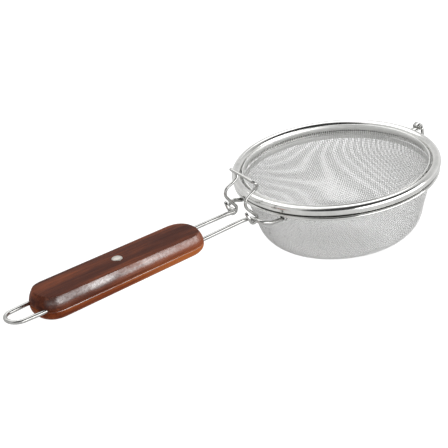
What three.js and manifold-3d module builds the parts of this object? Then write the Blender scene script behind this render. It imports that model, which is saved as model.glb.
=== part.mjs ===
// Double sieve strainer: a deep wire-mesh bowl and a shallow mesh dish that lies in it as a
// hinged lid, both in rolled steel rims, on one bent-wire frame with a wooden grip.
// A bent-wire spring clip on the frame folds over the rims to hold the lid shut.
// Millimetres, +Z up. The origin is the centre of the bowl's flat base. The grip points to -X,
// the hinge is on the +X side, and the frame's two wires lie either side of the XZ plane.
import * as THREE from 'three';
import { mergeVertices } from 'three/addons/utils/BufferGeometryUtils.js';
import Module from 'manifold-3d';

const wasm = await Module();
wasm.setup();

// ---------------------------------------------------------------- driving dimensions
const GAP = 0.3;                  // clearance kept between pieces that touch
const RIM_TOP = 54.5;             // height of the upper rim's crown over the bowl's base
const RING_STEPS = 56;            // facets round every ring and bowl

const UPPER_RIM_RADIUS = 75;      // outside radius of the upper rolled rim
const UPPER_RIM_HEIGHT = 7;
const LOWER_RIM_RADIUS = 74;
const LOWER_RIM_HEIGHT = 3.1;
const RIM_INNER_RADIUS = 68.6;    // both rims share this inside radius
const BAND_THICKNESS = 0.8;       // wall of the rolled rims
const BAND_SLIT_DEG = 24;         // slit left where the rolled band's edges meet
const BAND_SLIT_AT_DEG = 222;     // the slit faces inwards and down
const UPPER_CORE_RADIUS = 1.6;    // wire that the upper rim is rolled round
const LOWER_CORE_RADIUS = 0.45;
const CLAMP_RING_INNER = 66.5;    // flat rings that press the mesh edge against the rim
const CLAMP_RING_THICKNESS = 0.7;
const UPPER_CLAMP_SPAN = [-5.6, -1.3];    // bottom and top, below the rim's crown
const LOWER_CLAMP_SPAN = [-12.2, -8.9];

const MESH_THICKNESS = 0.6;
const MESH_EDGE_RADIUS = 68.3;    // outside of the mesh where the rim holds it
const BOWL_BASE_RADIUS = 42;      // flat part of the bowl's base
const BOWL_CORNER_RADIUS = 18;
const BOWL_EDGE_TOP = -9;
const BOWL_SHOULDER = [67.1, -14.2];      // radius and height where the bowl's wall begins
const DISH_DEPTH = 15.8;

const FRAME_WIRE_RADIUS = 1.5;
const FRAME_HALF_WIDTH = 9.1;     // each handle wire's distance from the middle, in the grip
const NECK_HALF_WIDTH = 8;        // the same at the shoulders, where the wires draw together
const HANDLE_WIRE_Z = -7.24;      // height of the handle wires, from the upper rim's crown
const SHOULDER_X = -86.9;         // the short crosswise stretch that carries the clip
const SHOULDER_Z = -8.1;
const SHOULDER_HALF_WIDTH = 19.9;
const WELD_RING_RADIUS = 70.2;    // one end of the frame follows this circle under the lower rim
const WELD_Z = -12.2;
const WELD_FROM_DEG = 16.3;
const WELD_TO_DEG = 18.3;
const SIDE_WELD = [[-71.8, 19.8, -8.7], [-79, 20.3, -6.5, 6]];  // the end that meets the rim's side
const LOOP_CENTRE_X = -278;       // centre of the round hanging loop
const LOOP_RADIUS = 8.5;

const GRIP_REAR_X = -264.8;
const GRIP_FRONT_X = -127.9;
const GRIP_HALF_WIDTH = 16.2;
const GRIP_TOP = 1.7;             // crown of the upper half at the rivet, from the upper rim's crown
const GRIP_BOTTOM = -14.85;       // underside of the lower half at the rivet
const GRIP_TAPER = 0.0016;        // share of thickness lost per mm towards the sieves
const GRIP_END_SQUARENESS = 0.84; // power of the rounded ends: 1 is round, less is squarer
const RIVET_X = -195.8;
const RIVET_HEAD_RADIUS = 3.8;
const RIVET_HEAD_HEIGHT = 1.9;
const RIVET_SHANK_RADIUS = 1.5;
const RIVET_RECESS = 1.1;         // the rivet's head and burr are let into the wood
const BURR_RADIUS = 3.4;
const BURR_STAND = 0.2;           // the rivet's tail stands this far below the wood
const CUT_OVERRUN = 5;            // grooves and bores are cut this far past the wood

const HINGE_X = 81;               // the lid's hinge axis, along Y
const HINGE_Z = -1;
const HINGE_WIRE_RADIUS = 1.1;
const HINGE_STAPLE_HALF_WIDTH = 4.2;
const HINGE_CURL_WIDTH = 5.2;
const HINGE_CURL_THICKNESS = 0.8;

const CLIP_WIRE_RADIUS = 1.1;
const CLIP_HOOK_Y = 11.3;         // where the clip's end hooks sit on the frame's shoulders
const CLIP_LEAN = 0.107;          // the clip stands a little askew: rise per mm towards +Y
const CLIP_LEAN_HEIGHT = 12;      // the lean grows to its full share over this height

const BEND_STEPS = 4;             // facets along each bend of a wire

// ---------------------------------------------------------------- materials
const brightSteel = new THREE.MeshStandardMaterial({ color: 0xd9d9d6, roughness: 0.18, metalness: 1 });
const meshSteel = new THREE.MeshStandardMaterial({ color: 0xc4c4c0, roughness: 0.38, metalness: 1 });
const wireSteel = new THREE.MeshStandardMaterial({ color: 0xd2d2cf, roughness: 0.22, metalness: 1 });
const wood = new THREE.MeshStandardMaterial({ color: 0x6b3526, roughness: 0.42, metalness: 0 });
const rivetMetal = new THREE.MeshStandardMaterial({ color: 0xc3beb2, roughness: 0.35, metalness: 1 });

// ---------------------------------------------------------------- helpers
const rad = THREE.MathUtils.degToRad;
const group = new THREE.Group();

function addPiece(name, geometry, material) {
  const mesh = new THREE.Mesh(outward(geometry), material);
  mesh.name = name;
  group.add(mesh);
}

// Position-only geometry with shared vertices.
function welded(geometry) {
  const bare = geometry.clone();
  bare.deleteAttribute('normal');
  bare.deleteAttribute('uv');
  return mergeVertices(bare, 1e-4);
}

// Turns the faces over where the signed volume says that they point inwards.
function outward(geometry) {
  const solid = welded(geometry);
  const p = solid.getAttribute('position');
  const index = solid.getIndex().array;
  const [a, b, c] = [new THREE.Vector3(), new THREE.Vector3(), new THREE.Vector3()];
  let volume = 0;
  for (let i = 0; i < index.length; i += 3) {
    a.fromBufferAttribute(p, index[i]);
    b.fromBufferAttribute(p, index[i + 1]);
    c.fromBufferAttribute(p, index[i + 2]);
    volume += a.dot(b.cross(c));
  }
  if (volume < 0) {
    for (let i = 0; i < index.length; i += 3) {
      [index[i + 1], index[i + 2]] = [index[i + 2], index[i + 1]];
    }
  }
  solid.computeVertexNormals();
  return solid;
}

function toManifold(geometry) {
  const solid = outward(geometry);
  return new wasm.Manifold(new wasm.Mesh({
    numProp: 3,
    vertProperties: new Float32Array(solid.getAttribute('position').array),
    triVerts: new Uint32Array(solid.getIndex().array),
  }));
}

function fromManifold(manifold) {
  const mesh = manifold.getMesh();
  const geometry = new THREE.BufferGeometry();
  geometry.setAttribute('position', new THREE.BufferAttribute(new Float32Array(mesh.vertProperties), 3));
  geometry.setIndex(new THREE.BufferAttribute(new Uint32Array(mesh.triVerts), 1));
  return geometry;
}

// A ring or bowl turned about Z from [radius, z] points, z counted from the upper rim's crown.
function turned(profile, steps = RING_STEPS) {
  const points = profile.map(([r, z]) => new THREE.Vector2(r, z + RIM_TOP));
  return new THREE.LatheGeometry(points, steps).rotateX(Math.PI / 2);
}

function closed(profile) {
  return [...profile, profile[0]];
}

// Points [centre + radius * (cos, sin)] from one angle to another.
function arc(cx, cy, rx, ry, fromDeg, toDeg, steps) {
  const points = [];
  for (let i = 0; i <= steps; i += 1) {
    const angle = rad(fromDeg + ((toDeg - fromDeg) * i) / steps);
    points.push([cx + rx * Math.cos(angle), cy + ry * Math.sin(angle)]);
  }
  return points;
}

// A wire's centre line, given point by point and followed without resampling.
class WirePath extends THREE.Curve {
  constructor(points) {
    super();
    this.points = points;
  }

  getPoint(t) {
    const last = this.points.length - 1;
    const i = Math.min(Math.floor(t * last), last - 1);
    return this.points[i].clone().lerp(this.points[i + 1], t * last - i);
  }

  getPointAt(u) {
    return this.getPoint(u);
  }

  getSpacedPoints() {
    return this.points.map((point) => point.clone());
  }

  getTangentAt(u) {
    const last = this.points.length - 1;
    const i = Math.round(u * last);
    const before = this.points[Math.max(i - 1, 0)];
    const here = this.points[i];
    const after = this.points[Math.min(i + 1, last)];
    const into = here.clone().sub(before).normalize();
    const out = after.clone().sub(here).normalize();
    return into.add(out).normalize();
  }
}

// Rounds each [x, y, z, bend radius] corner of a bent wire; corners with no radius stay as points.
function bent(corners) {
  const points = [];
  const at = corners.map(([x, y, z]) => new THREE.Vector3(x, y, z + RIM_TOP));
  corners.forEach(([, , , bend = 0], i) => {
    if (!bend || i === 0 || i === corners.length - 1) {
      points.push(at[i]);
      return;
    }
    const into = at[i - 1].clone().sub(at[i]).normalize();
    const out = at[i + 1].clone().sub(at[i]).normalize();
    const half = into.angleTo(out) / 2;
    const reach = bend / Math.tan(half);
    const start = at[i].clone().addScaledVector(into, reach);
    const centre = at[i].clone().addScaledVector(into.clone().add(out).normalize(), bend / Math.sin(half));
    const axis = into.clone().cross(out).normalize();
    const sweep = Math.PI - 2 * half;
    for (let k = 0; k <= BEND_STEPS; k += 1) {
      const spoke = start.clone().sub(centre).applyAxisAngle(axis, (-sweep * k) / BEND_STEPS);
      points.push(centre.clone().add(spoke));
    }
  });
  return points;
}

function wire(points, radius, sides = 8) {
  const section = new THREE.Shape(arc(0, 0, radius, radius, 0, 360 - 360 / sides, sides - 1)
    .map(([x, y]) => new THREE.Vector2(x, y)));
  return new THREE.ExtrudeGeometry(section, {
    steps: points.length - 1,
    extrudePath: new WirePath(points),
  });
}

function mirrored([x, y, z, ...rest]) {
  return [x, -y, z, ...rest];
}

// A solid upright cylinder between two heights, both counted from the upper rim's crown.
function post(x, radius, low, high, steps = 20) {
  return new THREE.CylinderGeometry(radius, radius, high - low, steps)
    .rotateX(Math.PI / 2)
    .translate(x, 0, (low + high) / 2 + RIM_TOP);
}

// ---------------------------------------------------------------- rims
// A band rolled into a hollow bead, its edges left a little apart.
function rolledBand(outerRadius, top, height) {
  const centre = (outerRadius + RIM_INNER_RADIUS) / 2;
  const halfWidth = (outerRadius - RIM_INNER_RADIUS) / 2;
  const from = BAND_SLIT_AT_DEG + BAND_SLIT_DEG / 2;
  const to = BAND_SLIT_AT_DEG + 360 - BAND_SLIT_DEG / 2;
  const outside = arc(centre, top - height / 2, halfWidth, height / 2, from, to, 11);
  const inside = arc(centre, top - height / 2, halfWidth - BAND_THICKNESS,
    height / 2 - BAND_THICKNESS, to, from, 8);
  return turned(closed([...outside, ...inside]));
}

function coreWire(outerRadius, top, height, radius) {
  const centre = (outerRadius + RIM_INNER_RADIUS) / 2;
  return turned(arc(centre, top - height / 2, radius, radius, 0, 360, 6));
}

function clampRing([bottom, top]) {
  const outer = CLAMP_RING_INNER + CLAMP_RING_THICKNESS;
  return turned(closed([
    [CLAMP_RING_INNER, bottom], [outer, bottom], [outer, top], [CLAMP_RING_INNER, top],
  ]));
}

// ---------------------------------------------------------------- mesh bowl and dish
// The outline is the outside from rim to centre; the inside runs back a thickness away.
function meshShell(outline) {
  const inside = outline.map(([r, z], i) => {
    const before = outline[Math.max(i - 1, 0)];
    const after = outline[Math.min(i + 1, outline.length - 1)];
    const along = new THREE.Vector2(after[0] - before[0], after[1] - before[1]).normalize();
    const onAxis = r === 0;
    return [
      onAxis ? 0 : r + along.y * MESH_THICKNESS,
      onAxis ? z + MESH_THICKNESS : z - along.x * MESH_THICKNESS,
    ];
  });
  return turned([...inside.reverse(), ...outline]);
}

function bowlOutline() {
  const base = -RIM_TOP;
  const [shoulderRadius, shoulderZ] = BOWL_SHOULDER;
  const dr = shoulderRadius - BOWL_BASE_RADIUS;
  const dz = shoulderZ - (base + BOWL_CORNER_RADIUS);
  const tangent = Math.atan2(dz, dr) - Math.acos(BOWL_CORNER_RADIUS / Math.hypot(dr, dz));
  return [
    [MESH_EDGE_RADIUS, BOWL_EDGE_TOP],
    [MESH_EDGE_RADIUS, BOWL_EDGE_TOP - 3.4],
    BOWL_SHOULDER,
    ...arc(BOWL_BASE_RADIUS, base + BOWL_CORNER_RADIUS, BOWL_CORNER_RADIUS, BOWL_CORNER_RADIUS,
      THREE.MathUtils.radToDeg(tangent), -90, 5),
    [0, base],
  ];
}

function dishOutline() {
  return [
    [MESH_EDGE_RADIUS, -2],
    [MESH_EDGE_RADIUS, -5.2],
    [66.4, -8.8],
    [62.8, -12.4],
    [57.5, -15],
    [50, -DISH_DEPTH],
    [0, -DISH_DEPTH],
  ];
}

// ---------------------------------------------------------------- bent-wire frame
// One wire: from its weld under the lower rim, round the shoulder that carries the clip, along
// the handle, round the hanging loop and back. The second end meets the lower rim from the side.
function frameWire() {
  const shoulder = [
    [SHOULDER_X, SHOULDER_HALF_WIDTH, SHOULDER_Z, 4.4],
    [SHOULDER_X, NECK_HALF_WIDTH, SHOULDER_Z, 2.2],
    [-96, NECK_HALF_WIDTH + 0.3, HANDLE_WIRE_Z, 12],
    [GRIP_FRONT_X, FRAME_HALF_WIDTH, HANDLE_WIRE_Z],
    [GRIP_REAR_X - 1, FRAME_HALF_WIDTH, HANDLE_WIRE_Z, 12],
  ];
  const underRim = arc(0, 0, -WELD_RING_RADIUS, WELD_RING_RADIUS, WELD_TO_DEG, WELD_FROM_DEG, 2)
    .map(([x, y]) => [x, y, WELD_Z]);
  const lowArm = [...underRim, [-70.8, 20.2, WELD_Z + 0.1, 5], [-79, 20.7, -11.2, 14], ...shoulder];
  const sideArm = [...SIDE_WELD, ...shoulder];
  const loop = arc(LOOP_CENTRE_X, 0, LOOP_RADIUS, LOOP_RADIUS, 90, 270, 12)
    .map(([x, y]) => [x, y, HANDLE_WIRE_Z]);
  const corners = [...sideArm, ...loop, ...lowArm.map(mirrored).reverse()];
  return wire(bent(corners), FRAME_WIRE_RADIUS);
}

// ---------------------------------------------------------------- spring clip
// Each end hooks round a shoulder from below; the legs bulge back, nip in over the rim and end
// in a finger bar.
function springClip() {
  const hookRadius = FRAME_WIRE_RADIUS + CLIP_WIRE_RADIUS + GAP;
  const hook = arc(SHOULDER_X, SHOULDER_Z, hookRadius, hookRadius, 200, 340, 6)
    .map(([x, z]) => [x, CLIP_HOOK_Y, z]);
  const side = [
    [-93, CLIP_HOOK_Y, -0.6],
    ...hook,
    [-83.6, 11.1, -7, 2.4],
    [-96, 10.6, 7.9, 5.5],
    [-86.5, 9.9, 11.7, 4],
    [-78.9, 10.1, 15.1, 3.5],
    [-85, 15.4, 21.4, 2.9],
  ];
  const leaning = ([x, y, z, ...rest]) => {
    const share = THREE.MathUtils.clamp((z - SHOULDER_Z) / CLIP_LEAN_HEIGHT, 0, 1);
    return [x, y, z + CLIP_LEAN * y * share, ...rest];
  };
  const corners = [...side, ...side.map(mirrored).reverse()].map(leaning);
  return wire(bent(corners), CLIP_WIRE_RADIUS);
}

// ---------------------------------------------------------------- wooden grip
// A half outline of the grip's end, a little squarer than a half circle.
function squaredArc(cx, radius, fromDeg, toDeg, steps) {
  const squarer = (value) => Math.sign(value) * Math.abs(value) ** GRIP_END_SQUARENESS;
  return arc(0, 0, 1, 1, fromDeg, toDeg, steps)
    .map(([x, y]) => [cx + radius * squarer(x), radius * squarer(y)]);
}

// Stacks round-ended outlines, each [inset, z at the rivet], and closes both ends flat.
function gripBlock(levels) {
  const endSteps = 9;
  const rings = levels.map(([inset, z]) => {
    const r = GRIP_HALF_WIDTH - inset;
    const rear = squaredArc(GRIP_REAR_X + GRIP_HALF_WIDTH, r, 90, 270, endSteps);
    const front = squaredArc(GRIP_FRONT_X - GRIP_HALF_WIDTH, r, -90, 90, endSteps);
    return [...rear, ...front].map(([x, y]) => {
      const share = 1 - GRIP_TAPER * (x - RIVET_X);
      return [x, y, HANDLE_WIRE_Z + (z - HANDLE_WIRE_Z) * share + RIM_TOP];
    });
  });
  const count = rings[0].length;
  const positions = rings.flat(2);
  const index = [];
  for (let k = 0; k + 1 < rings.length; k += 1) {
    for (let i = 0; i < count; i += 1) {
      const a = k * count + i;
      const b = k * count + ((i + 1) % count);
      index.push(a, b, b + count, a, b + count, a + count);
    }
  }
  const lastRing = (rings.length - 1) * count;
  for (let i = 1; i + 1 < count; i += 1) {
    index.push(0, i + 1, i, lastRing, lastRing + i, lastRing + i + 1);
  }
  const geometry = new THREE.BufferGeometry();
  geometry.setAttribute('position', new THREE.Float32BufferAttribute(positions, 3));
  geometry.setIndex(index);
  return geometry;
}

function gripHalf(levels, recessRadius, recessSpan) {
  const grooveRadius = FRAME_WIRE_RADIUS + GAP;
  let half = toManifold(gripBlock(levels));
  for (const side of [1, -1]) {
    const grooveLength = GRIP_FRONT_X - GRIP_REAR_X + 2 * CUT_OVERRUN;
    const groove = new THREE.CylinderGeometry(grooveRadius, grooveRadius, grooveLength, 12)
      .rotateZ(Math.PI / 2)
      .translate((GRIP_REAR_X + GRIP_FRONT_X) / 2, side * FRAME_HALF_WIDTH, HANDLE_WIRE_Z + RIM_TOP);
    half = half.subtract(toManifold(groove));
  }
  const bore = post(RIVET_X, RIVET_SHANK_RADIUS + GAP, GRIP_BOTTOM - CUT_OVERRUN, GRIP_TOP + CUT_OVERRUN, 16);
  half = half.subtract(toManifold(bore));
  half = half.subtract(toManifold(post(RIVET_X, recessRadius + GAP, ...recessSpan)));
  return fromManifold(half);
}

function gripUpperHalf() {
  const levels = [
    [0, HANDLE_WIRE_Z + GAP / 2], [0.5, -4.5], [1.6, -1.5], [2.8, 1.15], [6.5, 1.5], [11, GRIP_TOP],
  ];
  return gripHalf(levels, RIVET_HEAD_RADIUS, [GRIP_TOP - RIVET_RECESS, GRIP_TOP + CUT_OVERRUN]);
}

function gripLowerHalf() {
  const levels = [
    [5, GRIP_BOTTOM], [2.2, GRIP_BOTTOM + 1.2], [0.4, -11.5], [0, HANDLE_WIRE_Z - GAP / 2],
  ];
  return gripHalf(levels, BURR_RADIUS, [GRIP_BOTTOM - CUT_OVERRUN, GRIP_BOTTOM + RIVET_RECESS]);
}

function turnedAt(x, profile, steps = 20) {
  const points = profile.map(([r, z]) => new THREE.Vector2(r, z + RIM_TOP));
  return new THREE.LatheGeometry(points, steps).rotateX(Math.PI / 2).translate(x, 0, 0);
}

function gripRivet() {
  const headBase = GRIP_TOP - RIVET_RECESS + GAP;
  const tailTop = GRIP_BOTTOM - BURR_STAND;
  return turnedAt(RIVET_X, [
    [0, headBase + RIVET_HEAD_HEIGHT], [RIVET_HEAD_RADIUS - 1.2, headBase + 0.8 * RIVET_HEAD_HEIGHT],
    [RIVET_HEAD_RADIUS, headBase + 0.4 * RIVET_HEAD_HEIGHT],
    [RIVET_HEAD_RADIUS, headBase], [RIVET_SHANK_RADIUS, headBase], [RIVET_SHANK_RADIUS, tailTop],
    [RIVET_SHANK_RADIUS + 1, tailTop], [RIVET_SHANK_RADIUS + 0.5, tailTop - 0.8], [0, tailTop - 1],
  ]);
}

function rivetBurr() {
  const top = GRIP_BOTTOM + RIVET_RECESS - GAP;
  const bottom = GRIP_BOTTOM - BURR_STAND + GAP;
  return turnedAt(RIVET_X, closed([
    [RIVET_SHANK_RADIUS + GAP, bottom], [BURR_RADIUS, bottom], [BURR_RADIUS, top],
    [RIVET_SHANK_RADIUS + GAP, top],
  ]));
}

// ---------------------------------------------------------------- hinge
// A wire staple on the lower rim, its cross bar the hinge pin.
function hingeStaple() {
  const leg = [
    [74.2, HINGE_STAPLE_HALF_WIDTH, -9.1],
    [HINGE_X, HINGE_STAPLE_HALF_WIDTH, -8.6, 2.4],
    [HINGE_X, HINGE_STAPLE_HALF_WIDTH, HINGE_Z, 1.6],
  ];
  return wire(bent([...leg, ...leg.map(mirrored).reverse()]), HINGE_WIRE_RADIUS);
}

// A strap on the upper rim, curled round the pin.
function hingeCurl() {
  const inner = HINGE_WIRE_RADIUS + GAP;
  const outer = inner + HINGE_CURL_THICKNESS;
  const strapEnd = UPPER_RIM_RADIUS + GAP + 0.15;
  const outline = [
    [strapEnd, HINGE_Z - inner],
    [strapEnd, HINGE_Z - outer],
    ...arc(HINGE_X, HINGE_Z, outer, outer, -90, 170, 11),
    ...arc(HINGE_X, HINGE_Z, inner, inner, 170, -90, 9),
  ];
  const shape = new THREE.Shape(outline.map(([x, z]) => new THREE.Vector2(x, z + RIM_TOP)));
  return new THREE.ExtrudeGeometry(shape, { depth: HINGE_CURL_WIDTH, bevelEnabled: false })
    .rotateX(Math.PI / 2)
    .translate(0, HINGE_CURL_WIDTH / 2, 0);
}

// ---------------------------------------------------------------- assembly
const lowerRimTop = -UPPER_RIM_HEIGHT - GAP;

addPiece('lower_mesh_bowl', meshShell(bowlOutline()), meshSteel);
addPiece('lower_rim_band', rolledBand(LOWER_RIM_RADIUS, lowerRimTop, LOWER_RIM_HEIGHT), brightSteel);
addPiece('lower_rim_core_wire',
  coreWire(LOWER_RIM_RADIUS, lowerRimTop, LOWER_RIM_HEIGHT, LOWER_CORE_RADIUS), wireSteel);
addPiece('lower_mesh_clamp_ring', clampRing(LOWER_CLAMP_SPAN), brightSteel);
addPiece('handle_frame_wire', frameWire(), wireSteel);
addPiece('grip_upper_half', gripUpperHalf(), wood);
addPiece('grip_lower_half', gripLowerHalf(), wood);
addPiece('grip_rivet', gripRivet(), rivetMetal);
addPiece('grip_rivet_burr', rivetBurr(), rivetMetal);
addPiece('hinge_staple', hingeStaple(), wireSteel);

addPiece('upper_mesh_dish', meshShell(dishOutline()), meshSteel);
addPiece('upper_rim_band', rolledBand(UPPER_RIM_RADIUS, 0, UPPER_RIM_HEIGHT), brightSteel);
addPiece('upper_rim_core_wire',
  coreWire(UPPER_RIM_RADIUS, 0, UPPER_RIM_HEIGHT, UPPER_CORE_RADIUS), wireSteel);
addPiece('upper_mesh_clamp_ring', clampRing(UPPER_CLAMP_SPAN), brightSteel);
addPiece('hinge_curl', hingeCurl(), brightSteel);

addPiece('spring_clip', springClip(), wireSteel);

export default group;
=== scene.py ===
"""Double sieve strainer: two woven wire sieves in rolled steel rims, one hinged on the other,
on a bent-wire frame with a wooden grip and a wire clip.

Shapes are in millimetres, with heights counted from the upper rim's crown. Materials, the stage,
the lights and the camera's distance are in metres, with heights counted from the bowl's base.
"""
import math

import bpy
import numpy as np
from mathutils import Matrix, Quaternion, Vector


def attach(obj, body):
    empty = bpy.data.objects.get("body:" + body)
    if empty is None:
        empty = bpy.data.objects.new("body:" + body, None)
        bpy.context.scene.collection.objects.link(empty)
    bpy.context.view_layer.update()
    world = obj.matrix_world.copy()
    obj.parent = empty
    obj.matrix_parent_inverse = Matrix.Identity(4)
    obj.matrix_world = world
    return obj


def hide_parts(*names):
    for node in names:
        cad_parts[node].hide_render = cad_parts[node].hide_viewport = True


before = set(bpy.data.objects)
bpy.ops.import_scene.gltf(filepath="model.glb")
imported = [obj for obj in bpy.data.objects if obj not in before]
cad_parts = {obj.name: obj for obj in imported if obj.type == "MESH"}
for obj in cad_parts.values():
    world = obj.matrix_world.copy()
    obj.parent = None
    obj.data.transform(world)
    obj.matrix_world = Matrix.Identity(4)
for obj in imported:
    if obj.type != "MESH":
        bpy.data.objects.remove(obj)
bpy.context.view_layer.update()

MM = 0.001
RIM_TOP = 54.5               # the upper rim's crown above the bowl's base
RING_STEPS = 160
DISC_STEPS = 48

UPPER_RIM_RADIUS = 75.0
UPPER_RIM_HEIGHT = 7.0
LOWER_RIM_RADIUS = 74.0
LOWER_RIM_HEIGHT = 3.1
LOWER_RIM_TOP = -7.3
RIM_INNER_RADIUS = 68.6
BEAD_ARC_DEG = (-128, 216)   # of the round outside, anticlockwise
BEAD_LIP = ((0.62, 0.78), (0.50, 0.86))  # tucked edge: shares of the half width in, the height down
LOWER_SEAMS = (LOWER_RIM_TOP + 0.15, LOWER_RIM_TOP - LOWER_RIM_HEIGHT)  # its joint, its underside
CLAMP_INNER_RADIUS = 66.5
CLAMP_OUTER_RADIUS = 67.3
CLAMP_EDGE = 0.2             # the chamfer of its inner edges
UPPER_CLAMP_Z = (-5.6, -1.3)
LOWER_CLAMP_Z = (-12.2, -8.9)

MESH_EDGE_RADIUS = 68.0
DISH_DEPTH = 15.5
DISH_PITCH = 1.6
DISH_TURN_DEG = 38.0
BOWL_PITCH = 1.6
BOWL_TURN_DEG = 25.0
WEFT_RADIUS = 0.26           # the weft lies straight
WARP_RADIUS = 0.11           # the thinner warp bends over and under it
WIRE_SIDES = 4
BOWL_BASE_RADIUS = 42.0
BOWL_BASE_LIFT = 0.4         # from the ground to the middle of the cloth
BOWL_CORNER_RADIUS = 17.7
BOWL_SHOULDER = (66.8, -14.2)
PROFILE_STEP = 0.4
PROFILE_SMOOTHING = 9        # steps that each point of a profile is averaged over
SWAY = 0.10                  # how far a wire strays, as a share of the pitch
SWAY_RATE = 0.11             # radians per mm along a wire
SWAY_DRIFT = 0.7             # radians that the sway shifts from wire to wire
SWAY_DRIFT_RATE = 0.09       # radians per mm across the wires

FRAME_WIRE_RADIUS = 1.5
HANDLE_WIRE_Y = 9.1
HANDLE_WIRE_Z = -7.24
HANDLE_LOOP_X = -278.0
HANDLE_LOOP_RADIUS = 8.5
SHOULDER_X = -86.9
SHOULDER_Z = -8.1
WELD_RADIUS = 70.2
WELD_Z = -12.2
WELD_UNDER_RADIUS = 70.6     # the bead on the end that runs under the rim
WELD_UNDER_Z = -10.75
WELD_UNDER_DEG = 197.2
WELD_BESIDE = (-71.6, 19.8, -8.7)  # the bead on the end that meets the rim's side
WELD_BEAD_HALF_LENGTH = 2.0
WELD_BEAD_RADIUS = 0.95
WELD_BEAD_ROUND = 2.15       # half the length of the ellipse that its outline is part of
WELD_BEAD_CORE = 0.35        # share of its thickness that stays the same from end to end

CLIP_WIRE_RADIUS = 1.1
CLIP_HOOK_GAP = 0.3
CLIP_HOOK_Y = 11.3
CLIP_TILT = 0.107            # mm of rise per mm sideways
CLIP_TILT_RISE = 12.0        # height over which the tilt comes in

GRIP_REAR_X = -264.8
GRIP_FRONT_X = -127.9
GRIP_HALF_WIDTH = 16.2
GRIP_TOP = 1.7
GRIP_BOTTOM = -14.85
GRIP_SEAM = HANDLE_WIRE_Z
GRIP_TAPER = 0.0016          # share of thickness lost per mm towards the sieves
GRIP_END_SQUARENESS = 0.84
FLANK_INSET = 2.8            # how far the upper half's flank leans in at its top
FLANK_BASE = GRIP_SEAM + 0.24
FLANK_RISE = 8.15
FLANK_CURVE = 1.8            # power by which it leans in
RIVET_X = -195.8

HINGE_X = 81.0
HINGE_Z = -1.0
STAPLE_WIRE_RADIUS = 1.1
STAPLE_HALF_WIDTH = 4.2
CURL_INNER_RADIUS = 1.3
CURL_OUTER_RADIUS = 2.2
CURL_HALF_WIDTH = 2.6
CURL_START_X = 74.6
CURL_END_DEG = 170


# ---------------------------------------------------------------- mesh helpers
def make_piece(name, verts, faces, material, body, replaces=(), slot=None):
    """A smooth-shaded mesh piece in the row frame, from points in millimetres."""
    mesh = bpy.data.meshes.new(name)
    points = np.asarray(verts, dtype=np.float64) * MM
    mesh.from_pydata(points.tolist(), [], faces)
    mesh.update()
    mesh.validate()
    mesh.polygons.foreach_set("use_smooth", [True] * len(mesh.polygons))
    mesh.materials.append(material)
    piece = bpy.data.objects.new(name, mesh)
    bpy.context.scene.collection.objects.link(piece)
    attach(piece, body)
    if replaces:
        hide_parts(*replaces)


def join(*parts):
    """Joins (verts, faces) pairs into one."""
    verts, faces = [], []
    for part_verts, part_faces in parts:
        base = len(verts)
        verts.extend(part_verts)
        faces.extend([tuple(base + i for i in f) for f in part_faces])
    return verts, faces


def arc(cx, cy, rx, ry, from_deg, to_deg, steps):
    """Points (x, y) along part of an ellipse."""
    out = []
    for i in range(steps + 1):
        a = math.radians(from_deg + (to_deg - from_deg) * i / steps)
        out.append((cx + rx * math.cos(a), cy + ry * math.sin(a)))
    return out


def turned(profile, steps=RING_STEPS, closed=True, centre_x=0.0):
    """A shape turned about Z from (radius, height) points; a closed profile makes a ring."""
    n = len(profile)
    verts, faces = [], []
    for k in range(steps):
        a = 2 * math.pi * k / steps
        for r, z in profile:
            verts.append((centre_x + r * math.cos(a), r * math.sin(a), z + RIM_TOP))
    last = n if closed else n - 1
    for k in range(steps):
        k2 = (k + 1) % steps
        for i in range(last):
            j = (i + 1) % n
            faces.append((k * n + i, k2 * n + i, k2 * n + j, k * n + j))
    return verts, faces


def bent(corners, steps=10):
    """The line of a bent wire, rounded at each (x, y, z, bend radius) corner."""
    at = [Vector((c[0], c[1], c[2] + RIM_TOP)) for c in corners]
    points = []
    for i, corner in enumerate(corners):
        bend = corner[3] if len(corner) > 3 else 0
        if not bend or i == 0 or i == len(corners) - 1:
            points.append(at[i])
            continue
        into = (at[i - 1] - at[i]).normalized()
        out = (at[i + 1] - at[i]).normalized()
        half = into.angle(out) / 2
        start = at[i] + into * (bend / math.tan(half))
        centre = at[i] + (into + out).normalized() * (bend / math.sin(half))
        axis = into.cross(out).normalized()
        sweep = math.pi - 2 * half
        for k in range(steps + 1):
            spoke = start - centre
            spoke.rotate(Quaternion(axis, -sweep * k / steps))
            points.append(centre + spoke)
    return points


def tube(points, radius, sides=14, taper=None):
    """A round wire along points, with flat ends and no twist."""
    n = len(points)
    side = (points[1] - points[0]).normalized().orthogonal().normalized()
    verts, faces = [], []
    for i, point in enumerate(points):
        tangent = (points[min(i + 1, n - 1)] - points[max(i - 1, 0)]).normalized()
        if i:
            side = side - tangent * side.dot(tangent)
            side.normalize()
        up = tangent.cross(side)
        r = radius * (taper[i] if taper else 1)
        for k in range(sides):
            a = 2 * math.pi * k / sides
            verts.append(tuple(point + side * (r * math.cos(a)) + up * (r * math.sin(a))))
    for i in range(n - 1):
        for k in range(sides):
            k2 = (k + 1) % sides
            faces.append((i * sides + k, i * sides + k2, (i + 1) * sides + k2, (i + 1) * sides + k))
    faces.append(tuple(reversed(range(sides))))
    faces.append(tuple(range((n - 1) * sides, n * sides)))
    return verts, faces


def mirrored(corner):
    return (corner[0], -corner[1], *corner[2:])


# ---------------------------------------------------------------- node helpers
def node_material(name):
    material = bpy.data.materials.new(name)
    material.use_nodes = True
    tree = material.node_tree
    return material, tree, tree.nodes["Principled BSDF"]


def feed(tree, socket, value):
    """Links a node's output to the socket, or sets the socket to a plain value."""
    if isinstance(value, bpy.types.NodeSocket):
        tree.links.new(value, socket)
    else:
        socket.default_value = value


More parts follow.
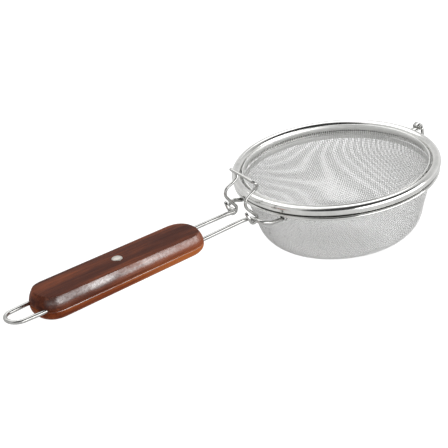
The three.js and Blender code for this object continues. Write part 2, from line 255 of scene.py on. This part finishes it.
def add(tree, kind, **inputs):
    node = tree.nodes.new(kind)
    for key, value in inputs.items():
        feed(tree, node.inputs[key], value)
    return node


def operate(tree, kind, operation, values):
    """Adds a node that calculates with the values, and gives its outputs."""
    node = tree.nodes.new(kind)
    node.operation = operation
    for socket, value in zip(node.inputs, values):
        feed(tree, socket, value)
    return node.outputs


def math_node(tree, operation, *values):
    return operate(tree, "ShaderNodeMath", operation, values)["Value"]


def vector_node(tree, operation, *values, output="Vector"):
    return operate(tree, "ShaderNodeVectorMath", operation, values)[output]


def product(tree, total, *factors):
    for factor in factors:
        total = math_node(tree, "MULTIPLY", total, factor)
    return total


def map_range(tree, value, from_min, from_max, to_min=0.0, to_max=1.0, interpolation="LINEAR"):
    node = tree.nodes.new("ShaderNodeMapRange")
    node.interpolation_type = interpolation
    limits = {"From Min": from_min, "From Max": from_max, "To Min": to_min, "To Max": to_max}
    for socket, limit in limits.items():
        feed(tree, node.inputs[socket], limit)
    feed(tree, node.inputs["Value"], value)
    return node.outputs["Result"]


def object_place(tree):
    return tree.nodes.new("ShaderNodeTexCoord").outputs["Object"]


def world_normal(tree):
    return tree.nodes.new("ShaderNodeNewGeometry").outputs["Normal"]


def axes(tree, vector):
    """A vector's X, Y and Z outputs."""
    return add(tree, "ShaderNodeSeparateXYZ", Vector=vector).outputs


def ramp(tree, factor, stops):
    """A colour ramp through (place, colour) stops."""
    node = add(tree, "ShaderNodeValToRGB", Fac=factor)
    elements = node.color_ramp.elements
    while len(elements) < len(stops):
        elements.new(0.5)
    for element, (place, colour) in zip(elements, stops):
        element.position = place
        element.color = (*colour, 1)
    return node.outputs["Color"]


def grey_ramp(tree, factor, *stops):
    """A ramp through (place, grey) stops."""
    return ramp(tree, factor, [(place, (grey,) * 3) for place, grey in stops])


def noise(tree, frequency, scale=1.0, detail=2.0, roughness=0.5):
    """Noise over the object, with a frequency per metre along each axis, times `scale`."""
    where = add(tree, "ShaderNodeMapping", Vector=object_place(tree), Scale=frequency)
    node = add(tree, "ShaderNodeTexNoise", Vector=where.outputs["Vector"], Scale=scale, Detail=detail,
               Roughness=roughness)
    return node.outputs["Fac"]


def bump(tree, shader, height, strength, distance):
    node = add(tree, "ShaderNodeBump", Strength=strength, Distance=distance, Height=height)
    feed(tree, shader.inputs["Normal"], node.outputs["Normal"])


# ---------------------------------------------------------------- steel
EVEN = (1, 1, 1)
BOWL_MIDDLE = (0, 0, 0.07)
SEAM_SHADE_CORE = 0.0004          # half the height of the painted line of shade at a seam
SEAM_SHADE_REACH = 0.0011         # where the painted shade ends
SEAM_SHADE_TONE = 0.55
INNER_SHADE_FADE = (-0.25, 0.05)  # where the painted shade inside the bowl fades, from facing in to facing out, as a cosine
RIPPLE_DEPTH = 0.0004


def painted_inner_shade(tree, inner):
    """Painted shade inside the bowl: 1 on the side of a wire that faces out of the bowl, down to `inner` on
    the side facing in.
    """
    spoke = vector_node(tree, "NORMALIZE", vector_node(tree, "SUBTRACT", object_place(tree), BOWL_MIDDLE))
    facing = vector_node(tree, "DOT_PRODUCT", spoke, world_normal(tree), output="Value")
    return map_range(tree, facing, *INNER_SHADE_FADE, inner, 1.0)


def painted_seam_shade(tree, seam):
    """Painted shade: 1 away from a seam's height, darker close to it, where the gap between the rims and the
    lower rim's underside lie in shadow.
    """
    height = math_node(tree, "SUBTRACT", axes(tree, object_place(tree))["Z"], (seam + RIM_TOP) * MM)
    away = math_node(tree, "ABSOLUTE", height)
    return map_range(tree, away, SEAM_SHADE_CORE, SEAM_SHADE_REACH, SEAM_SHADE_TONE, 1.0)


def steel(name, dull, clear, rough, rough_spread, grain, ripple=0.05, metallic=1.0, inner=1.0, seams=()):
    """Polished steel: fine wear in its brightness and gloss, and a faint rippled surface.

    The side of a bowl wire that faces in is darkened to `inner` by painted shade, and painted shade darkens
    the steel round each height in `seams`.
    """
    material, tree, shader = node_material(name)
    shader.inputs["Metallic"].default_value = metallic
    wear_and_shade = ramp(tree, noise(tree, EVEN, grain, detail=4.0, roughness=0.6), [(0.3, dull), (0.7, clear)])
    if inner < 1.0:
        # painted shade on the side of a bowl wire that faces in
        wear_and_shade = vector_node(tree, "MULTIPLY", wear_and_shade, painted_inner_shade(tree, inner))
    for seam in seams:
        # painted shade round each seam's height
        wear_and_shade = vector_node(tree, "MULTIPLY", wear_and_shade, painted_seam_shade(tree, seam))
    feed(tree, shader.inputs["Base Color"], wear_and_shade)
    gloss = grey_ramp(tree, noise(tree, EVEN, grain * 2.3), (0.3, rough), (0.75, rough + rough_spread))
    feed(tree, shader.inputs["Roughness"], gloss)
    bump(tree, shader, noise(tree, EVEN, grain * 0.6), ripple, RIPPLE_DEPTH)
    return material


# ---------------------------------------------------------------- wood
BAND_FREQUENCY = (9, 150, 150)
FIBRE_FREQUENCY = (60, 1500, 1500)
PORE_FREQUENCY = (560, 700, 700)
BLOTCH_FREQUENCY = (30, 90, 90)
FIBRE_SHARE = 0.45           # of the fibres in the figure, beside the broad bands
FRONT_FADE = (-0.215, -0.145)  # X from the grip's rear part to its front part
PAINTED_HIGHLIGHT_EDGE = (0.0552, 0.0535)  # Z from the flat top down to the flank, below which a painted highlight makes the sides paler in front
PAINTED_HIGHLIGHT_LIFT = 0.28
FRONT_LACQUER = 0.45         # share of the lacquer's weight left at the front
FIBRE_DEPTH = 0.0003


def lacquer(tree, front):
    """The lacquer's weight: what is left of it is on the flanks' slopes, blotchy and thin in front."""
    normal = axes(tree, world_normal(tree))
    sloped = grey_ramp(tree, normal["Z"], (0.12, 0.0), (0.28, 0.25), (0.42, 1.0), (0.7, 1.0), (0.85, 0.02))
    flank = map_range(tree, math_node(tree, "ABSOLUTE", normal["Y"]), 0.4, 0.75)
    blotches = grey_ramp(tree, noise(tree, BLOTCH_FREQUENCY), (0.36, 0.4), (0.5, 1.0))
    pores = grey_ramp(tree, noise(tree, PORE_FREQUENCY, detail=1.0), (0.4, 0.68), (0.6, 1.0))
    thinned = map_range(tree, front, 0.0, 1.0, 1.0, FRONT_LACQUER)
    return product(tree, sloped, flank, blotches, pores, thinned)


def wood(name, dark, mid, light):
    """Stained, lacquered hardwood with long fibres and open pores along X, and a painted highlight that
    lightens its sides towards the front.
    """
    material, tree, shader = node_material(name)
    place = axes(tree, object_place(tree))
    front = map_range(tree, place["X"], *FRONT_FADE)
    bands = noise(tree, BAND_FREQUENCY, detail=5.0, roughness=0.62)
    fibres = noise(tree, FIBRE_FREQUENCY, detail=4.0, roughness=0.7)
    # painted highlight: the sides below the top lighten towards the front
    pale = product(tree, map_range(tree, place["Z"], *PAINTED_HIGHLIGHT_EDGE, 0.0, PAINTED_HIGHLIGHT_LIFT), front)
    figure = math_node(tree, "ADD", math_node(tree, "MULTIPLY_ADD", fibres, FIBRE_SHARE, bands), pale)
    feed(tree, shader.inputs["Base Color"], ramp(tree, figure, [(0.5, dark), (0.72, mid), (0.95, light)]))
    feed(tree, shader.inputs["Roughness"], grey_ramp(tree, fibres, (0.3, 0.34), (0.7, 0.5)))
    feed(tree, shader.inputs["Coat Weight"], lacquer(tree, front))
    shader.inputs["Specular IOR Level"].default_value = 0.05
    shader.inputs["Coat Roughness"].default_value = 0.24
    shader.inputs["Coat IOR"].default_value = 3.0
    bump(tree, shader, fibres, 0.35, FIBRE_DEPTH)
    return material


# ---------------------------------------------------------------- materials
CLOTH = {"grain": 140, "ripple": 0.02}

# The rims carry painted shade in the gap between them and under the lower rim.
BRIGHT = steel("bright_rim_steel", (0.72, 0.72, 0.70), (0.90, 0.90, 0.88), 0.10, 0.08, 60,
               seams=LOWER_SEAMS)
WIRE = steel("drawn_wire_steel", (0.46, 0.46, 0.445), (0.62, 0.62, 0.605), 0.17, 0.10, 90)
DISH_WARP = steel("dish_warp_steel", (0.70, 0.70, 0.69), (0.82, 0.82, 0.81), 0.34, 0.12, metallic=0.6,
                  **CLOTH)
DISH_WEFT = steel("dish_weft_steel", (0.80, 0.80, 0.79), (0.88, 0.88, 0.87), 0.26, 0.10, metallic=0.35,
                  **CLOTH)
# The bowl's wires get painted shade down to `inner` on their inward sides.
BOWL_WARP = steel("bowl_warp_steel", (0.66, 0.66, 0.65), (0.78, 0.78, 0.77), 0.34, 0.12, inner=0.6, **CLOTH)
BOWL_WEFT = steel("bowl_weft_steel", (0.96, 0.96, 0.95), (1.0, 1.0, 0.99), 0.26, 0.10, metallic=0.35,
                  inner=0.62, **CLOTH)
CLAMP = steel("clamp_ring_steel", (0.80, 0.80, 0.785), (0.92, 0.92, 0.90), 0.34, 0.14, 70)
RIVET = steel("rivet_aluminium", (0.50, 0.475, 0.435), (0.60, 0.575, 0.53), 0.42, 0.14, 220, ripple=0.15)
WOOD_TOP = wood("stained_wood_upper", (0.045, 0.012, 0.008), (0.100, 0.029, 0.017), (0.26, 0.070, 0.028))
WOOD_LOW = wood("stained_wood_lower", (0.09, 0.018, 0.006), (0.21, 0.046, 0.014), (0.40, 0.115, 0.03))


# ---------------------------------------------------------------- rims
def bead(outer_radius, top, height, steps=28):
    """A rolled bead: a full round outside, its edge tucked in below on the inner side."""
    centre = (outer_radius + RIM_INNER_RADIUS) / 2
    half_width = (outer_radius - RIM_INNER_RADIUS) / 2
    outside = arc(centre, top - height / 2, half_width, height / 2, *BEAD_ARC_DEG, steps)
    lip = [(centre - half_width * inward, top - height * down) for inward, down in BEAD_LIP]
    return turned(outside + lip)


def clamp_ring(bottom, top):
    """A flat band inside the rim, chamfered on its inner side."""
    inner, outer = CLAMP_INNER_RADIUS, CLAMP_OUTER_RADIUS
    return turned([(inner, bottom + CLAMP_EDGE), (inner + CLAMP_EDGE, bottom), (outer, bottom), (outer, top),
                   (inner + CLAMP_EDGE, top), (inner, top - CLAMP_EDGE)])


make_piece("upper_rim", *bead(UPPER_RIM_RADIUS, 0, UPPER_RIM_HEIGHT), BRIGHT, "upper_sieve",
           ("upper_rim_band",), "bright_steel")
make_piece("lower_rim", *bead(LOWER_RIM_RADIUS, LOWER_RIM_TOP, LOWER_RIM_HEIGHT), BRIGHT, "lower_sieve",
           ("lower_rim_band",), "bright_steel")
make_piece("upper_clamp", *clamp_ring(*UPPER_CLAMP_Z), CLAMP, "upper_sieve", ("upper_mesh_clamp_ring",),
           "bright_steel")
make_piece("lower_clamp", *clamp_ring(*LOWER_CLAMP_Z), CLAMP, "lower_sieve", ("lower_mesh_clamp_ring",),
           "bright_steel")

for core_wire in ("upper_rim_core_wire", "lower_rim_core_wire"):
    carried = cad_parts[core_wire]
    carried.data.materials.clear()
    carried.data.materials.append(WIRE)


# ---------------------------------------------------------------- woven wire sieves
def smooth_profile(points):
    """A profile at even steps: arc length, radius, height and the surface normal's two parts."""
    p = np.array(points, dtype=float)
    length = np.concatenate([[0], np.cumsum(np.hypot(*np.diff(p, axis=0).T))])
    s = np.arange(0, length[-1], PROFILE_STEP)
    r, z = np.interp(s, length, p[:, 0]), np.interp(s, length, p[:, 1])
    kernel = np.ones(PROFILE_SMOOTHING) / PROFILE_SMOOTHING
    inside = slice(PROFILE_SMOOTHING // 2, -(PROFILE_SMOOTHING // 2))
    for line in (r, z):
        line[inside] = np.convolve(line, kernel, "same")[inside]
    dr, dz = np.gradient(r, s), np.gradient(z, s)
    size = np.hypot(dr, dz)
    return s, r, z, -dz / size, dr / size


def unit(vectors):
    return vectors / np.linalg.norm(vectors, axis=1)[:, None]


def pressed(cloth, x, y, lift):
    """Where points of flat cloth lie on the profile, `lift` off its surface, and their normals."""
    s_axis, r_axis, z_axis, nr_axis, nz_axis = cloth
    s = np.hypot(x, y)
    r, z = np.interp(s, s_axis, r_axis), np.interp(s, s_axis, z_axis)
    nr, nz = np.interp(s, s_axis, nr_axis), np.interp(s, s_axis, nz_axis)
    cx, cy = x / np.maximum(s, 1e-6), y / np.maximum(s, 1e-6)
    normal = unit(np.stack([nr * cx, nr * cy, nz], 1))
    return np.stack([r * cx, r * cy, z + RIM_TOP], 1) + normal * lift[:, None], normal


def wire_verts(centre, normal, radius):
    """The corners of a four-sided wire round each point of its middle line."""
    along = unit(np.gradient(centre, axis=0))
    side = unit(np.cross(along, normal))
    up = np.cross(side, along)
    angles = [math.pi / 4 + math.pi / 2 * k for k in range(WIRE_SIDES)]
    corners = [centre + radius * (math.cos(a) * side + math.sin(a) * up) for a in angles]
    return np.stack(corners, 1).reshape(-1, 3)


def wire_faces(count, base):
    """The sides and both ends of a wire of `count` points whose corners start at `base`."""
    ring = np.arange(count - 1)[:, None] * WIRE_SIDES + base
    q = np.arange(WIRE_SIDES)[None, :]
    q2 = (q + 1) % WIRE_SIDES
    sides = np.stack([ring + q, ring + q2, ring + WIRE_SIDES + q2, ring + WIRE_SIDES + q], 2)
    ends = np.concatenate([base + q[:, ::-1], base + WIRE_SIDES * (count - 1) + q])
    return np.concatenate([sides.reshape(-1, WIRE_SIDES), ends])


def woven(profile, pitch, wire_radius, bend, turn_deg, across):
    """One set of parallel wires of a pressed cloth, laid over a turned profile.

    A flat cloth is pressed into the bowl: distance from the middle becomes distance along the
    profile. Each wire bends by `bend` over and under the wires of the other set in turn.
    """
    cloth = smooth_profile(profile)
    reach = cloth[0][-1]
    turn = math.radians(turn_deg)
    verts, faces = [], []
    base = 0
    count = int(reach / pitch)
    for i in range(-count, count):
        u = (i + 0.5) * pitch
        half = math.sqrt(max(reach * reach - u * u, 0))
        steps = int(half / pitch)
        if steps < 1:
            continue
        j = np.arange(-steps, steps)
        v = (j + 0.5) * pitch
        lift = bend * np.where((i + j) % 2 == 0, 1.0, -1.0)
        drift = SWAY_DRIFT * math.sin(SWAY_DRIFT_RATE * u)
        strayed = u + SWAY * pitch * np.sin(SWAY_RATE * v + drift)
        x, y = (strayed, v) if across else (v, strayed)
        x, y = x * math.cos(turn) - y * math.sin(turn), x * math.sin(turn) + y * math.cos(turn)
        verts.append(wire_verts(*pressed(cloth, x, y, lift), wire_radius))
        faces.append(wire_faces(len(v), base))
        base += WIRE_SIDES * len(v)
    return np.concatenate(verts), np.concatenate(faces).tolist()


def bowl_profile():
    base = BOWL_BASE_LIFT - RIM_TOP
    shoulder_r, shoulder_z = BOWL_SHOULDER
    dr = shoulder_r - BOWL_BASE_RADIUS
    dz = shoulder_z - (base + BOWL_CORNER_RADIUS)
    tangent = math.degrees(math.atan2(dz, dr) - math.acos(BOWL_CORNER_RADIUS / math.hypot(dr, dz)))
    corner = arc(BOWL_BASE_RADIUS, base + BOWL_CORNER_RADIUS, BOWL_CORNER_RADIUS, BOWL_CORNER_RADIUS,
                 -90, tangent, 24)
    return [(0, base), *corner, BOWL_SHOULDER, (MESH_EDGE_RADIUS, -12.6), (MESH_EDGE_RADIUS, -9.2)]


def dish_profile():
    return [(0, -DISH_DEPTH), (50, -DISH_DEPTH), (57.3, -14.7), (62.5, -12.2), (66.0, -8.7),
            (MESH_EDGE_RADIUS, -5.2), (MESH_EDGE_RADIUS, -1.6)]


for label, across, radius, bend, dish, bowl in (
        ("warp", True, WARP_RADIUS, WARP_RADIUS + WEFT_RADIUS, DISH_WARP, BOWL_WARP),
        ("weft", False, WEFT_RADIUS, 0.0, DISH_WEFT, BOWL_WEFT)):
    make_piece(f"dish_{label}", *woven(dish_profile(), DISH_PITCH, radius, bend, DISH_TURN_DEG, across),
               dish, "upper_sieve", ("upper_mesh_dish",), "wire_mesh")
    make_piece(f"bowl_{label}", *woven(bowl_profile(), BOWL_PITCH, radius, bend, BOWL_TURN_DEG, across),
               bowl, "lower_sieve", ("lower_mesh_bowl",), "wire_mesh")


# ---------------------------------------------------------------- bent-wire frame and clip
def frame_path():
    """One end runs under the lower rim; the other meets the rim's side."""
    shoulder = [(SHOULDER_X, 19.9, SHOULDER_Z, 4.4), (SHOULDER_X, 8, SHOULDER_Z, 2.2),
                (-96, 8.3, HANDLE_WIRE_Z, 12), (GRIP_FRONT_X, HANDLE_WIRE_Y, HANDLE_WIRE_Z),
                (GRIP_REAR_X - 1, HANDLE_WIRE_Y, HANDLE_WIRE_Z, 12)]
    under_rim = [(x, y, WELD_Z) for x, y in arc(0, 0, -WELD_RADIUS, WELD_RADIUS, 18.3, 16.3, 3)]
    low_arm = [*under_rim, (-70.8, 20.2, WELD_Z + 0.1, 5), (-79, 20.7, -11.2, 14), *shoulder]
    side_arm = [(-71.8, 19.8, -8.7), (-79, 20.3, -6.5, 6), *shoulder]
    loop = [(x, y, HANDLE_WIRE_Z)
            for x, y in arc(HANDLE_LOOP_X, 0, HANDLE_LOOP_RADIUS, HANDLE_LOOP_RADIUS, 90, 270, 28)]
    return bent([*side_arm, *loop, *map(mirrored, reversed(low_arm))])


def clip_path():
    """A wire that hooks under the frame's shoulder on both sides and rises to a crossbar."""
    hook_radius = FRAME_WIRE_RADIUS + CLIP_WIRE_RADIUS + CLIP_HOOK_GAP
    hook = [(x, CLIP_HOOK_Y, z)
            for x, z in arc(SHOULDER_X, SHOULDER_Z, hook_radius, hook_radius, 200, 340, 14)]
    side = [(-93, CLIP_HOOK_Y, -0.6), *hook, (-83.6, 11.1, -7, 2.4), (-96, 10.6, 7.9, 5.5),
            (-86.5, 9.9, 11.7, 4), (-78.9, 10.1, 15.1, 3.5), (-85, 15.4, 21.4, 2.9)]
    corners = []
    for x, y, z, *bend in [*side, *map(mirrored, reversed(side))]:
        share = min(max((z - SHOULDER_Z) / CLIP_TILT_RISE, 0), 1)
        corners.append((x, y, z + CLIP_TILT * y * share, *bend))
    return bent(corners)


make_piece("handle_wire", *tube(frame_path(), FRAME_WIRE_RADIUS, sides=18), WIRE, "lower_sieve",
           ("handle_frame_wire",), "steel_wire")
make_piece("clip_wire", *tube(clip_path(), CLIP_WIRE_RADIUS, sides=16), WIRE, "clip",
           ("spring_clip",), "steel_wire")


def weld_bead(centre, along):
    """A lump of weld metal, thinner at its ends."""
    steps = np.linspace(-WELD_BEAD_HALF_LENGTH, WELD_BEAD_HALF_LENGTH, 9)
    ellipse = [math.sqrt(1 - (t / WELD_BEAD_ROUND) ** 2) for t in steps]
    swell = [WELD_BEAD_CORE + (1 - WELD_BEAD_CORE) * share for share in ellipse]
    return tube([centre + along * t for t in steps], WELD_BEAD_RADIUS, sides=12, taper=swell)


def weld_beads():
    """One bead where the frame runs under the lower rim and one where it meets the rim's side."""
    angle = math.radians(WELD_UNDER_DEG)
    x, y = math.cos(angle), math.sin(angle)
    under = Vector((WELD_UNDER_RADIUS * x, WELD_UNDER_RADIUS * y, WELD_UNDER_Z + RIM_TOP))
    beside = Vector(WELD_BESIDE) + Vector((0, 0, RIM_TOP))
    return join(weld_bead(under, Vector((y, -x, 0))), weld_bead(beside, Vector((0.26, 0.96, 0))))


make_piece("weld_beads", *weld_beads(), WIRE, "lower_sieve", (), "steel_wire")


# ---------------------------------------------------------------- wooden grip
def squared(value):
    return math.copysign(abs(value) ** GRIP_END_SQUARENESS, value)


def grip_ring(inset, z, steps=26):
    """The grip's outline at one level, `inset` from its widest, thinner towards the sieves."""
    r = GRIP_HALF_WIDTH - inset
    points = []
    for cx, start in ((GRIP_REAR_X + GRIP_HALF_WIDTH, 90), (GRIP_FRONT_X - GRIP_HALF_WIDTH, -90)):
        for c, s in arc(0, 0, 1, 1, start, start + 180, steps):
            x = cx + r * squared(c)
            share = 1 - GRIP_TAPER * (x - RIVET_X)
            points.append((x, r * squared(s), GRIP_SEAM + (z - GRIP_SEAM) * share + RIM_TOP))
    return points


def grip_half(levels):
    """A closed half of the grip through (inset, height) levels, from the bottom up."""
    rings = [grip_ring(inset, z) for inset, z in levels]
    n = len(rings[0])
    verts = [p for ring in rings for p in ring]
    faces = []
    for k in range(len(rings) - 1):
        for i in range(n):
            j = (i + 1) % n
            faces.append((k * n + i, k * n + j, (k + 1) * n + j, (k + 1) * n + i))
    faces.append(tuple(reversed(range(n))))
    faces.append(tuple((len(rings) - 1) * n + i for i in range(n)))
    return verts, faces


UPPER_FLANK = [(FLANK_INSET * t ** FLANK_CURVE, FLANK_BASE + FLANK_RISE * t)
               for t in (0.05, *np.linspace(0.1, 0.95, 11), 0.985, 1.0)]
UPPER_LEVELS = [(0.6, GRIP_SEAM + 0.05), (0.15, GRIP_SEAM + 0.25), *UPPER_FLANK, (2.88, 1.2), (3.05, 1.24),
                (4.2, 1.36), (6.5, 1.52), (9, 1.63), (12, GRIP_TOP)]
LOWER_LEVELS = [(5.4, GRIP_BOTTOM), (4.2, GRIP_BOTTOM + 0.2), (3.2, GRIP_BOTTOM + 0.6),
                (2.2, GRIP_BOTTOM + 1.2), (1.3, -12.7), (0.6, -11.6), (0.2, -10.3), (0.0, -9.0),
                (0.0, GRIP_SEAM - 1.0), (0.08, GRIP_SEAM - 0.8), (0.42, GRIP_SEAM - 0.25),
                (0.8, GRIP_SEAM - 0.05)]
make_piece("grip_upper", *grip_half(UPPER_LEVELS), WOOD_TOP, "lower_sieve",
           ("grip_upper_half",), "stained_wood")
make_piece("grip_lower", *grip_half(LOWER_LEVELS), WOOD_LOW, "lower_sieve",
           ("grip_lower_half",), "stained_wood")


def rivet_disc(profile):
    return turned(profile, DISC_STEPS, closed=False, centre_x=RIVET_X)


HEAD_PROFILE = [(0, 2.75), (1.4, 2.68), (2.6, 2.42), (3.4, 2.05), (3.8, 1.75), (3.8, 0.9)]
BURR_PROFILE = [(0, -16.05), (1.4, -15.95), (2.0, -15.25), (2.1, -15.0), (3.2, -15.0), (3.4, -14.75),
                (3.4, -14.1)]
make_piece("rivet_head", *rivet_disc(HEAD_PROFILE), RIVET, "lower_sieve", ("grip_rivet",), "rivet_metal")
make_piece("rivet_burr", *rivet_disc(BURR_PROFILE), RIVET, "lower_sieve", ("grip_rivet_burr",), "rivet_metal")


# ---------------------------------------------------------------- hinge
def hinge_staple():
    """A wire staple that stands out from the lower rim; its crossbar is the hinge's pin."""
    leg = [(73.6, STAPLE_HALF_WIDTH, -9.1), (HINGE_X, STAPLE_HALF_WIDTH, -8.6, 2.4),
           (HINGE_X, STAPLE_HALF_WIDTH, HINGE_Z, 1.6)]
    return tube(bent([*leg, *map(mirrored, reversed(leg))]), STAPLE_WIRE_RADIUS, sides=16)


def hinge_curl():
    """A strap that leaves the upper rim and curls round the pin."""
    inner, outer = CURL_INNER_RADIUS, CURL_OUTER_RADIUS
    outline = [(CURL_START_X, HINGE_Z - inner), (CURL_START_X, HINGE_Z - outer),
               *arc(HINGE_X, HINGE_Z, outer, outer, -90, CURL_END_DEG, 30),
               *arc(HINGE_X, HINGE_Z, inner, inner, CURL_END_DEG, -90, 30)]
    n = len(outline)
    verts = [(x, y, z + RIM_TOP) for y in (-CURL_HALF_WIDTH, CURL_HALF_WIDTH) for x, z in outline]
    faces = [(i, (i + 1) % n, n + (i + 1) % n, n + i) for i in range(n)]
    faces += [tuple(reversed(range(n))), tuple(range(n, 2 * n))]
    return verts, faces


make_piece("hinge_staple_wire", *hinge_staple(), WIRE, "lower_sieve", ("hinge_staple",), "steel_wire")
make_piece("hinge_curl_strap", *hinge_curl(), BRIGHT, "upper_sieve", ("hinge_curl",), "bright_steel")


# ---------------------------------------------------------------- stage
FLOOR_HALF_SIZE = 3.0
FLOOR_LEAN_DEG = 10.0        # so that it meets both the bowl's corner and the grip's rear end
FLOOR_CORNER_X = -0.046      # where it meets the bowl's corner
FLOOR_DROP = 0.0012          # clear of the wires there
FLOOR_REFLECTED = 0.5        # its brightness in the steel; the camera sees it at 1
SHADOW_RADIUS = 0.046
SHADOW_FADE = (0.3, 1.0)     # over these shares of the radius
SHADOW_TONE = 0.6


def contact_shadow(tree):
    """The floor's brightness, softly darkened under the bowl's base."""
    where = add(tree, "ShaderNodeMapping", Vector=object_place(tree), Location=(-FLOOR_CORNER_X, 0, 0),
                Scale=(SHADOW_RADIUS, SHADOW_RADIUS, 1))
    where.vector_type = "TEXTURE"
    away = vector_node(tree, "LENGTH", where.outputs["Vector"], output="Value")
    return map_range(tree, away, *SHADOW_FADE, SHADOW_TONE, 1.0, "SMOOTHSTEP")


def make_floor():
    mesh = bpy.data.meshes.new("floor")
    corners = [(FLOOR_HALF_SIZE * x, FLOOR_HALF_SIZE * y, 0) for x, y in ((-1, -1), (1, -1), (1, 1), (-1, 1))]
    mesh.from_pydata(corners, [], [(0, 1, 2, 3)])
    floor = bpy.data.objects.new("floor", mesh)
    bpy.context.scene.collection.objects.link(floor)
    floor.rotation_euler = (0, math.radians(FLOOR_LEAN_DEG), 0)
    floor.location = (FLOOR_CORNER_X, 0, -FLOOR_DROP)
    material, tree, shader = node_material("pale_floor")
    shader.inputs["Base Color"].default_value = (0.25, 0.25, 0.25, 1)
    shader.inputs["Roughness"].default_value = 0.9
    shader.inputs["Specular IOR Level"].default_value = 0.0
    tone = grey_ramp(tree, noise(tree, EVEN, 2.0), (0.3, 0.96), (0.7, 0.98))
    feed(tree, shader.inputs["Emission Color"], tone)
    seen = tree.nodes.new("ShaderNodeLightPath").outputs["Is Camera Ray"]
    glow = map_range(tree, seen, 0.0, 1.0, FLOOR_REFLECTED, contact_shadow(tree))
    feed(tree, shader.inputs["Emission Strength"], glow)
    mesh.materials.append(material)


# ---------------------------------------------------------------- light and camera
CAMERA_AZIMUTH_DEG = -36.17
CAMERA_ELEVATION_DEG = 26.33
CAMERA_ROLL_DEG = -6.56
CAMERA_TARGET = (-114.72, -14.08, RIM_TOP)  # millimetres, from the middle of the bowl's base
CAMERA_DISTANCE = 1.55645
CAMERA_NEAR = 0.01
CAMERA_LENS = 182.98
SENSOR_WIDTH = 36


def make_world():
    """A pale studio; its front is white near the horizon and dark above, which the rims mirror."""
    world = bpy.data.worlds.new("studio")
    bpy.context.scene.world = world
    world.use_nodes = True
    tree = world.node_tree
    way = axes(tree, tree.nodes.new("ShaderNodeTexCoord").outputs["Generated"])
    room = grey_ramp(tree, way["Z"], (0.0, 0.85), (0.25, 0.75), (0.5, 0.65), (0.7, 0.55), (0.85, 0.80))
    front = grey_ramp(tree, way["Z"], (0.16, 1.0), (0.34, 0.05))
    frontal = map_range(tree, way["Y"], -0.03, -0.22)
    right_end = map_range(tree, way["X"], 0.6, 0.85, 1.0, 0.3)
    mixed = tree.nodes.new("ShaderNodeMix")
    mixed.data_type = "RGBA"
    for socket, value in (("Factor", product(tree, frontal, right_end)), ("A", room), ("B", front)):
        feed(tree, mixed.inputs[socket], value)
    back = tree.nodes["Background"]
    feed(tree, back.inputs["Color"], mixed.outputs["Result"])
    back.inputs["Strength"].default_value = 1.0


def area_light(name, place, target, size, power):
    light = bpy.data.lights.new(name, "AREA")
    light.shape = "RECTANGLE"
    light.size, light.size_y = size
    light.energy = power
    lamp = bpy.data.objects.new(name, light)
    bpy.context.scene.collection.objects.link(lamp)
    lamp.location = place
    lamp.rotation_euler = (Vector(target) - Vector(place)).to_track_quat("-Z", "Y").to_euler()


def make_camera():
    angles = (CAMERA_AZIMUTH_DEG, CAMERA_ELEVATION_DEG, CAMERA_ROLL_DEG)
    azimuth, elevation, roll = (math.radians(v) for v in angles)
    back = Vector((math.sin(azimuth) * math.cos(elevation), -math.cos(azimuth) * math.cos(elevation),
                   math.sin(elevation)))
    right = (-back).cross(Vector((0, 0, 1))).normalized()
    up = right.cross(-back)
    right, up = (right * math.cos(roll) + up * math.sin(roll), up * math.cos(roll) - right * math.sin(roll))
    data = bpy.data.cameras.new("camera")
    data.lens = CAMERA_LENS
    data.sensor_width = SENSOR_WIDTH
    data.clip_start = CAMERA_NEAR
    camera = bpy.data.objects.new("camera", data)
    place = Vector(CAMERA_TARGET) * MM + back * CAMERA_DISTANCE
    camera.matrix_world = Matrix(((right.x, up.x, back.x, place.x), (right.y, up.y, back.y, place.y),
                                  (right.z, up.z, back.z, place.z), (0, 0, 0, 1)))
    bpy.context.scene.collection.objects.link(camera)
    bpy.context.scene.camera = camera


make_floor()
make_world()
area_light("front_softbox", place=(0.20, -0.70, 0.26), target=(-0.1, 0, 0.05), size=(1.3, 0.36), power=4.5)
area_light("top_softbox", place=(0.05, 0.45, 0.85), target=(-0.05, 0, 0), size=(1.3, 0.8), power=3.6)
make_camera()
bpy.context.scene.view_settings.view_transform = "Standard"
